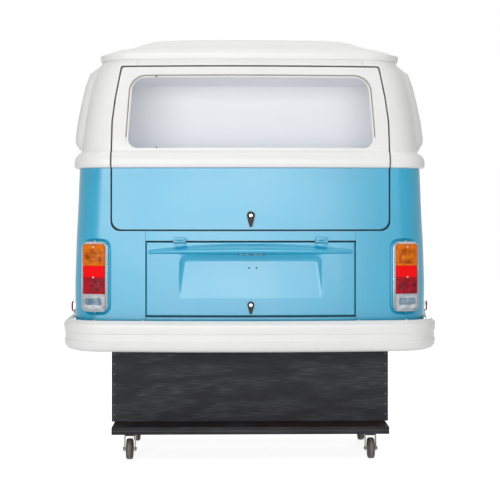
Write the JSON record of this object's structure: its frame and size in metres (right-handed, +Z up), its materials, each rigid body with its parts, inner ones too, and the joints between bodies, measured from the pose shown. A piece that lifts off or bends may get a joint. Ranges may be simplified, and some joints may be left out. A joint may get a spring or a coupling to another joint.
{
  "type": "mobile bar van",
  "caption": "Rolling bar made from the rounded tail end of a classic minibus, with a top-hung serving hatch and lower lid, on a black plywood box with swivel castors.",
  "frame": {"origin": "on the floor, under the middle of the whole part's box", "axes": "+Z up, the tail with its hatch and lid faces -Y, X = 0 is the plane of symmetry"},
  "size_m": [1.83, 0.692, 2.071],
  "materials": {
    "white_paint": "gloss",
    "blue_paint": "gloss",
    "white_lining": "satin paint",
    "black_ply": "stained",
    "zinc_plate": "zinc plated",
    "chrome": "polished",
    "castor_rubber": "matte",
    "black_metal": "satin",
    "amber_lens": "gloss",
    "red_lens": "gloss",
    "clear_lens": "gloss"
  },
  "bodies": {
    "shell": {"roof": "white_paint", "rear_header": "white_paint", "quarter_upper_left": "white_paint", "quarter_upper_right": "white_paint", "scoop_left": "white_paint", "scoop_right": "white_paint", "bumper": "white_paint", "quarter_lower_left": "blue_paint", "quarter_lower_right": "blue_paint", "sill_strip": "blue_paint", "apron_strip": "blue_paint", "hatch_hinge_arm_left": "zinc_plate", "hatch_hinge_arm_right": "zinc_plate", "lamp_housing_left": "chrome", "lamp_housing_right": "chrome", "lens_amber_left": "amber_lens", "lens_amber_right": "amber_lens", "lens_red_left": "red_lens", "lens_red_right": "red_lens", "lens_clear_left": "clear_lens", "lens_clear_right": "clear_lens", "side_marker_left": "red_lens", "side_marker_right": "red_lens", "bumper_bracket_left": "black_metal", "bumper_bracket_right": "black_metal", "back_panel": "white_lining", "ceiling": "white_lining", "counter": "white_lining", "deck": "white_lining", "box_tail": "black_ply", "box_front": "black_ply", "box_left": "black_ply", "box_right": "black_ply", "base_board": "black_ply", "castor_plate_tail_left": "zinc_plate", "castor_plate_tail_right": "zinc_plate", "castor_plate_front_left": "zinc_plate", "castor_plate_front_right": "zinc_plate"},
    "hatch": {"hatch_upper": "white_paint", "hatch_lower": "blue_paint", "hatch_latch": "black_metal"},
    "lid": {"lid": "blue_paint", "lid_latch": "black_metal"},
    "fork_tail_left": {"castor_fork_tail_left": "zinc_plate"},
    "fork_tail_right": {"castor_fork_tail_right": "zinc_plate"},
    "fork_front_left": {"castor_fork_front_left": "zinc_plate"},
    "fork_front_right": {"castor_fork_front_right": "zinc_plate"},
    "wheel_tail_left": {"castor_wheel_tail_left": "castor_rubber"},
    "wheel_tail_right": {"castor_wheel_tail_right": "castor_rubber"},
    "wheel_front_left": {"castor_wheel_front_left": "castor_rubber"},
    "wheel_front_right": {"castor_wheel_front_right": "castor_rubber"}
  },
  "joints": [
    {"name": "hatch_hinge", "type": "hinge", "parent": "shell", "child": "hatch", "pos_m": [0, -0.16507, 1.902], "axis": [-1, 0, 0], "range_deg": [0, 80]},
    {"name": "lid_hinge", "type": "hinge", "parent": "shell", "child": "lid", "pos_m": [0, -0.26, 1.062], "axis": [-1, 0, 0], "range_deg": [0, 90]},
    {"name": "swivel_tail_left", "type": "hinge", "parent": "shell", "child": "fork_tail_left", "pos_m": [-0.588, -0.137, 0.115], "axis": [0, 0, 1], "continuous": true},
    {"name": "swivel_tail_right", "type": "hinge", "parent": "shell", "child": "fork_tail_right", "pos_m": [0.588, -0.137, 0.115], "axis": [0, 0, 1], "continuous": true},
    {"name": "swivel_front_left", "type": "hinge", "parent": "shell", "child": "fork_front_left", "pos_m": [-0.588, 0.264, 0.115], "axis": [0, 0, 1], "continuous": true},
    {"name": "swivel_front_right", "type": "hinge", "parent": "shell", "child": "fork_front_right", "pos_m": [0.588, 0.264, 0.115], "axis": [0, 0, 1], "continuous": true},
    {"name": "roll_tail_left", "type": "hinge", "parent": "fork_tail_left", "child": "wheel_tail_left", "pos_m": [-0.588, -0.167, 0.05], "axis": [1, 0, 0], "continuous": true},
    {"name": "roll_tail_right", "type": "hinge", "parent": "fork_tail_right", "child": "wheel_tail_right", "pos_m": [0.588, -0.167, 0.05], "axis": [1, 0, 0], "continuous": true},
    {"name": "roll_front_left", "type": "hinge", "parent": "fork_front_left", "child": "wheel_front_left", "pos_m": [-0.588, 0.234, 0.05], "axis": [1, 0, 0], "continuous": true},
    {"name": "roll_front_right", "type": "hinge", "parent": "fork_front_right", "child": "wheel_front_right", "pos_m": [0.588, 0.234, 0.05], "axis": [1, 0, 0], "continuous": true}
  ]
}
